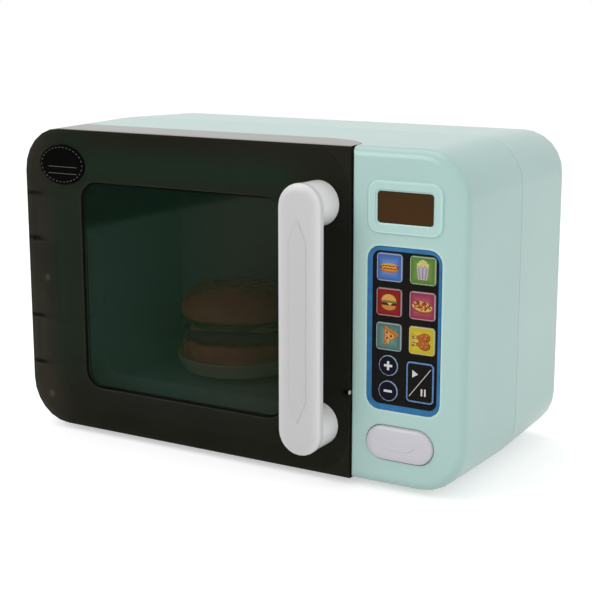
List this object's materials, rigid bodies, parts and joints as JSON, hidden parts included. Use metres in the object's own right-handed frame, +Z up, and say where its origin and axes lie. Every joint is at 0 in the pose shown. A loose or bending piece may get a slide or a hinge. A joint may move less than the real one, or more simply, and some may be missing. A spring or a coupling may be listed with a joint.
{
  "type": "toy microwave",
  "caption": "Toy microwave with a swinging tinted door, bar handle, picture keys, display, release button and a turning plate that carries a play burger.",
  "frame": {"origin": "middle of the bounding box's base, on the floor under the feet", "axes": "+X to the right seen from the front, +Y from the front towards the back, +Z up"},
  "size_m": [0.3, 0.1716, 0.1929],
  "materials": {
    "mint_plastic": "glossy pale mint, moulded in colour",
    "tinted_plastic": "polished smoke-tinted, see-through",
    "white_plastic": "satin off-white, moulded in colour",
    "black_plastic": "fine-grained black",
    "smoked_plastic": "polished dark brown smoke",
    "overlay_print": "printed film, blue border round a black field",
    "mat_rubber": "translucent silicone",
    "board_laminate": "green solder mask on laminate",
    "lamp_plastic": "milky lamp dome",
    "plate_plastic": "cream",
    "bun_plastic": "toasted brown",
    "patty_plastic": "rough dark brown",
    "cheese_plastic": "smooth yellow orange",
    "lettuce_plastic": "leaf green",
    "steel": "bright zinc plate",
    "cell_wrap": "printed sleeve on a steel can",
    "foot_rubber": "matt black",
    "key_hot_dog_print": "printed picture on blue",
    "key_popcorn_print": "printed picture on green",
    "key_burger_print": "printed picture on red",
    "key_pie_print": "printed picture on pink",
    "key_pizza_print": "printed picture on teal",
    "key_chicken_print": "printed picture on yellow",
    "key_plus_print": "printed plus sign on dark blue",
    "key_minus_print": "printed minus sign on dark blue",
    "key_play_pause_print": "printed play and pause signs on dark blue"
  },
  "bodies": {
    "base": {"front_housing": "mint_plastic", "rear_cover": "mint_plastic", "cavity_liner": "mint_plastic", "turntable_motor": "black_plastic", "speaker": "black_plastic", "battery_box": "black_plastic", "display_module": "black_plastic", "display_lens": "smoked_plastic", "keypad_overlay": "overlay_print", "control_board": "board_laminate", "cavity_lamp": "lamp_plastic", "power_switch_body": "steel", "lever_pin": "steel", "button_spring": "steel", "rear_cover_screw_1": "steel", "foot_1": "foot_rubber", "rear_cover_screw_2": "steel", "foot_2": "foot_rubber", "rear_cover_screw_3": "steel", "foot_3": "foot_rubber", "rear_cover_screw_4": "steel", "foot_4": "foot_rubber", "battery_1": "cell_wrap", "contact_spring_1": "steel", "contact_plate_1": "steel", "battery_2": "cell_wrap", "contact_spring_2": "steel", "contact_plate_2": "steel", "battery_3": "cell_wrap", "contact_spring_3": "steel", "contact_plate_3": "steel", "key_mat": "mat_rubber"},
    "door": {"door_shell": "tinted_plastic", "door_handle": "white_plastic", "handle_screw_lower": "steel", "handle_screw_upper": "steel", "door_badge": "black_plastic", "hinge_pin_lower": "steel", "hinge_pin_upper": "steel"},
    "release_button": {"release_button": "white_plastic"},
    "latch_lever": {"latch_lever": "white_plastic"},
    "turntable": {"turntable_coupler": "black_plastic", "turntable_plate": "plate_plastic", "food_bun_bottom": "bun_plastic", "food_patty": "patty_plastic", "food_cheese": "cheese_plastic", "food_lettuce": "lettuce_plastic", "food_bun_top": "bun_plastic"},
    "battery_door": {"battery_door": "mint_plastic", "battery_door_screw": "steel"},
    "power_switch": {"power_switch": "black_plastic"},
    "key_hot_dog": {"key_hot_dog": "key_hot_dog_print"},
    "key_popcorn": {"key_popcorn": "key_popcorn_print"},
    "key_burger": {"key_burger": "key_burger_print"},
    "key_pie": {"key_pie": "key_pie_print"},
    "key_pizza": {"key_pizza": "key_pizza_print"},
    "key_chicken": {"key_chicken": "key_chicken_print"},
    "key_plus": {"key_plus": "key_plus_print"},
    "key_minus": {"key_minus": "key_minus_print"},
    "key_play_pause": {"key_play_pause": "key_play_pause_print"}
  },
  "joints": [
    {"name": "door_hinge", "type": "hinge", "parent": "base", "child": "door", "pos_m": [-0.144, -0.0507, 0.094], "axis": [0, 0, -1], "range_deg": [0, 110]},
    {"name": "release_button_push", "type": "slide", "parent": "base", "child": "release_button", "axis": [0, 1, 0], "range_m": [0, 0.004], "stiffness_N_per_m": 250, "deforming": ["button_spring"]},
    {"name": "latch_lever_turn", "type": "hinge", "parent": "base", "child": "latch_lever", "pos_m": [0.09, -0.0377, 0.041], "axis": [0, 0, 1], "range_deg": [0, 10.3]},
    {"name": "turntable_spin", "type": "hinge", "parent": "base", "child": "turntable", "pos_m": [-0.039, 0.0088, 0.0375], "axis": [0, 0, 1], "continuous": true},
    {"name": "battery_door_pull", "type": "slide", "parent": "base", "child": "battery_door", "axis": [0, 1, 0], "range_m": [0, 0.04]},
    {"name": "power_switch_slide", "type": "slide", "parent": "base", "child": "power_switch", "axis": [1, 0, 0], "range_m": [0, 0.003]},
    {"name": "key_hot_dog_press", "type": "slide", "parent": "base", "child": "key_hot_dog", "axis": [0, 1, 0], "range_m": [0, 0.0005], "stiffness_N_per_m": 600},
    {"name": "key_popcorn_press", "type": "slide", "parent": "base", "child": "key_popcorn", "axis": [0, 1, 0], "range_m": [0, 0.0005], "stiffness_N_per_m": 600},
    {"name": "key_burger_press", "type": "slide", "parent": "base", "child": "key_burger", "axis": [0, 1, 0], "range_m": [0, 0.0005], "stiffness_N_per_m": 600},
    {"name": "key_pie_press", "type": "slide", "parent": "base", "child": "key_pie", "axis": [0, 1, 0], "range_m": [0, 0.0005], "stiffness_N_per_m": 600},
    {"name": "key_pizza_press", "type": "slide", "parent": "base", "child": "key_pizza", "axis": [0, 1, 0], "range_m": [0, 0.0005], "stiffness_N_per_m": 600},
    {"name": "key_chicken_press", "type": "slide", "parent": "base", "child": "key_chicken", "axis": [0, 1, 0], "range_m": [0, 0.0005], "stiffness_N_per_m": 600},
    {"name": "key_plus_press", "type": "slide", "parent": "base", "child": "key_plus", "axis": [0, 1, 0], "range_m": [0, 0.0005], "stiffness_N_per_m": 600},
    {"name": "key_minus_press", "type": "slide", "parent": "base", "child": "key_minus", "axis": [0, 1, 0], "range_m": [0, 0.0005], "stiffness_N_per_m": 600},
    {"name": "key_play_pause_press", "type": "slide", "parent": "base", "child": "key_play_pause", "axis": [0, 1, 0], "range_m": [0, 0.0005], "stiffness_N_per_m": 600}
  ],
  "couplings": [
    {"joint": "latch_lever_turn", "follows": "release_button_push", "rad_per_m": 44.643}
  ]
}
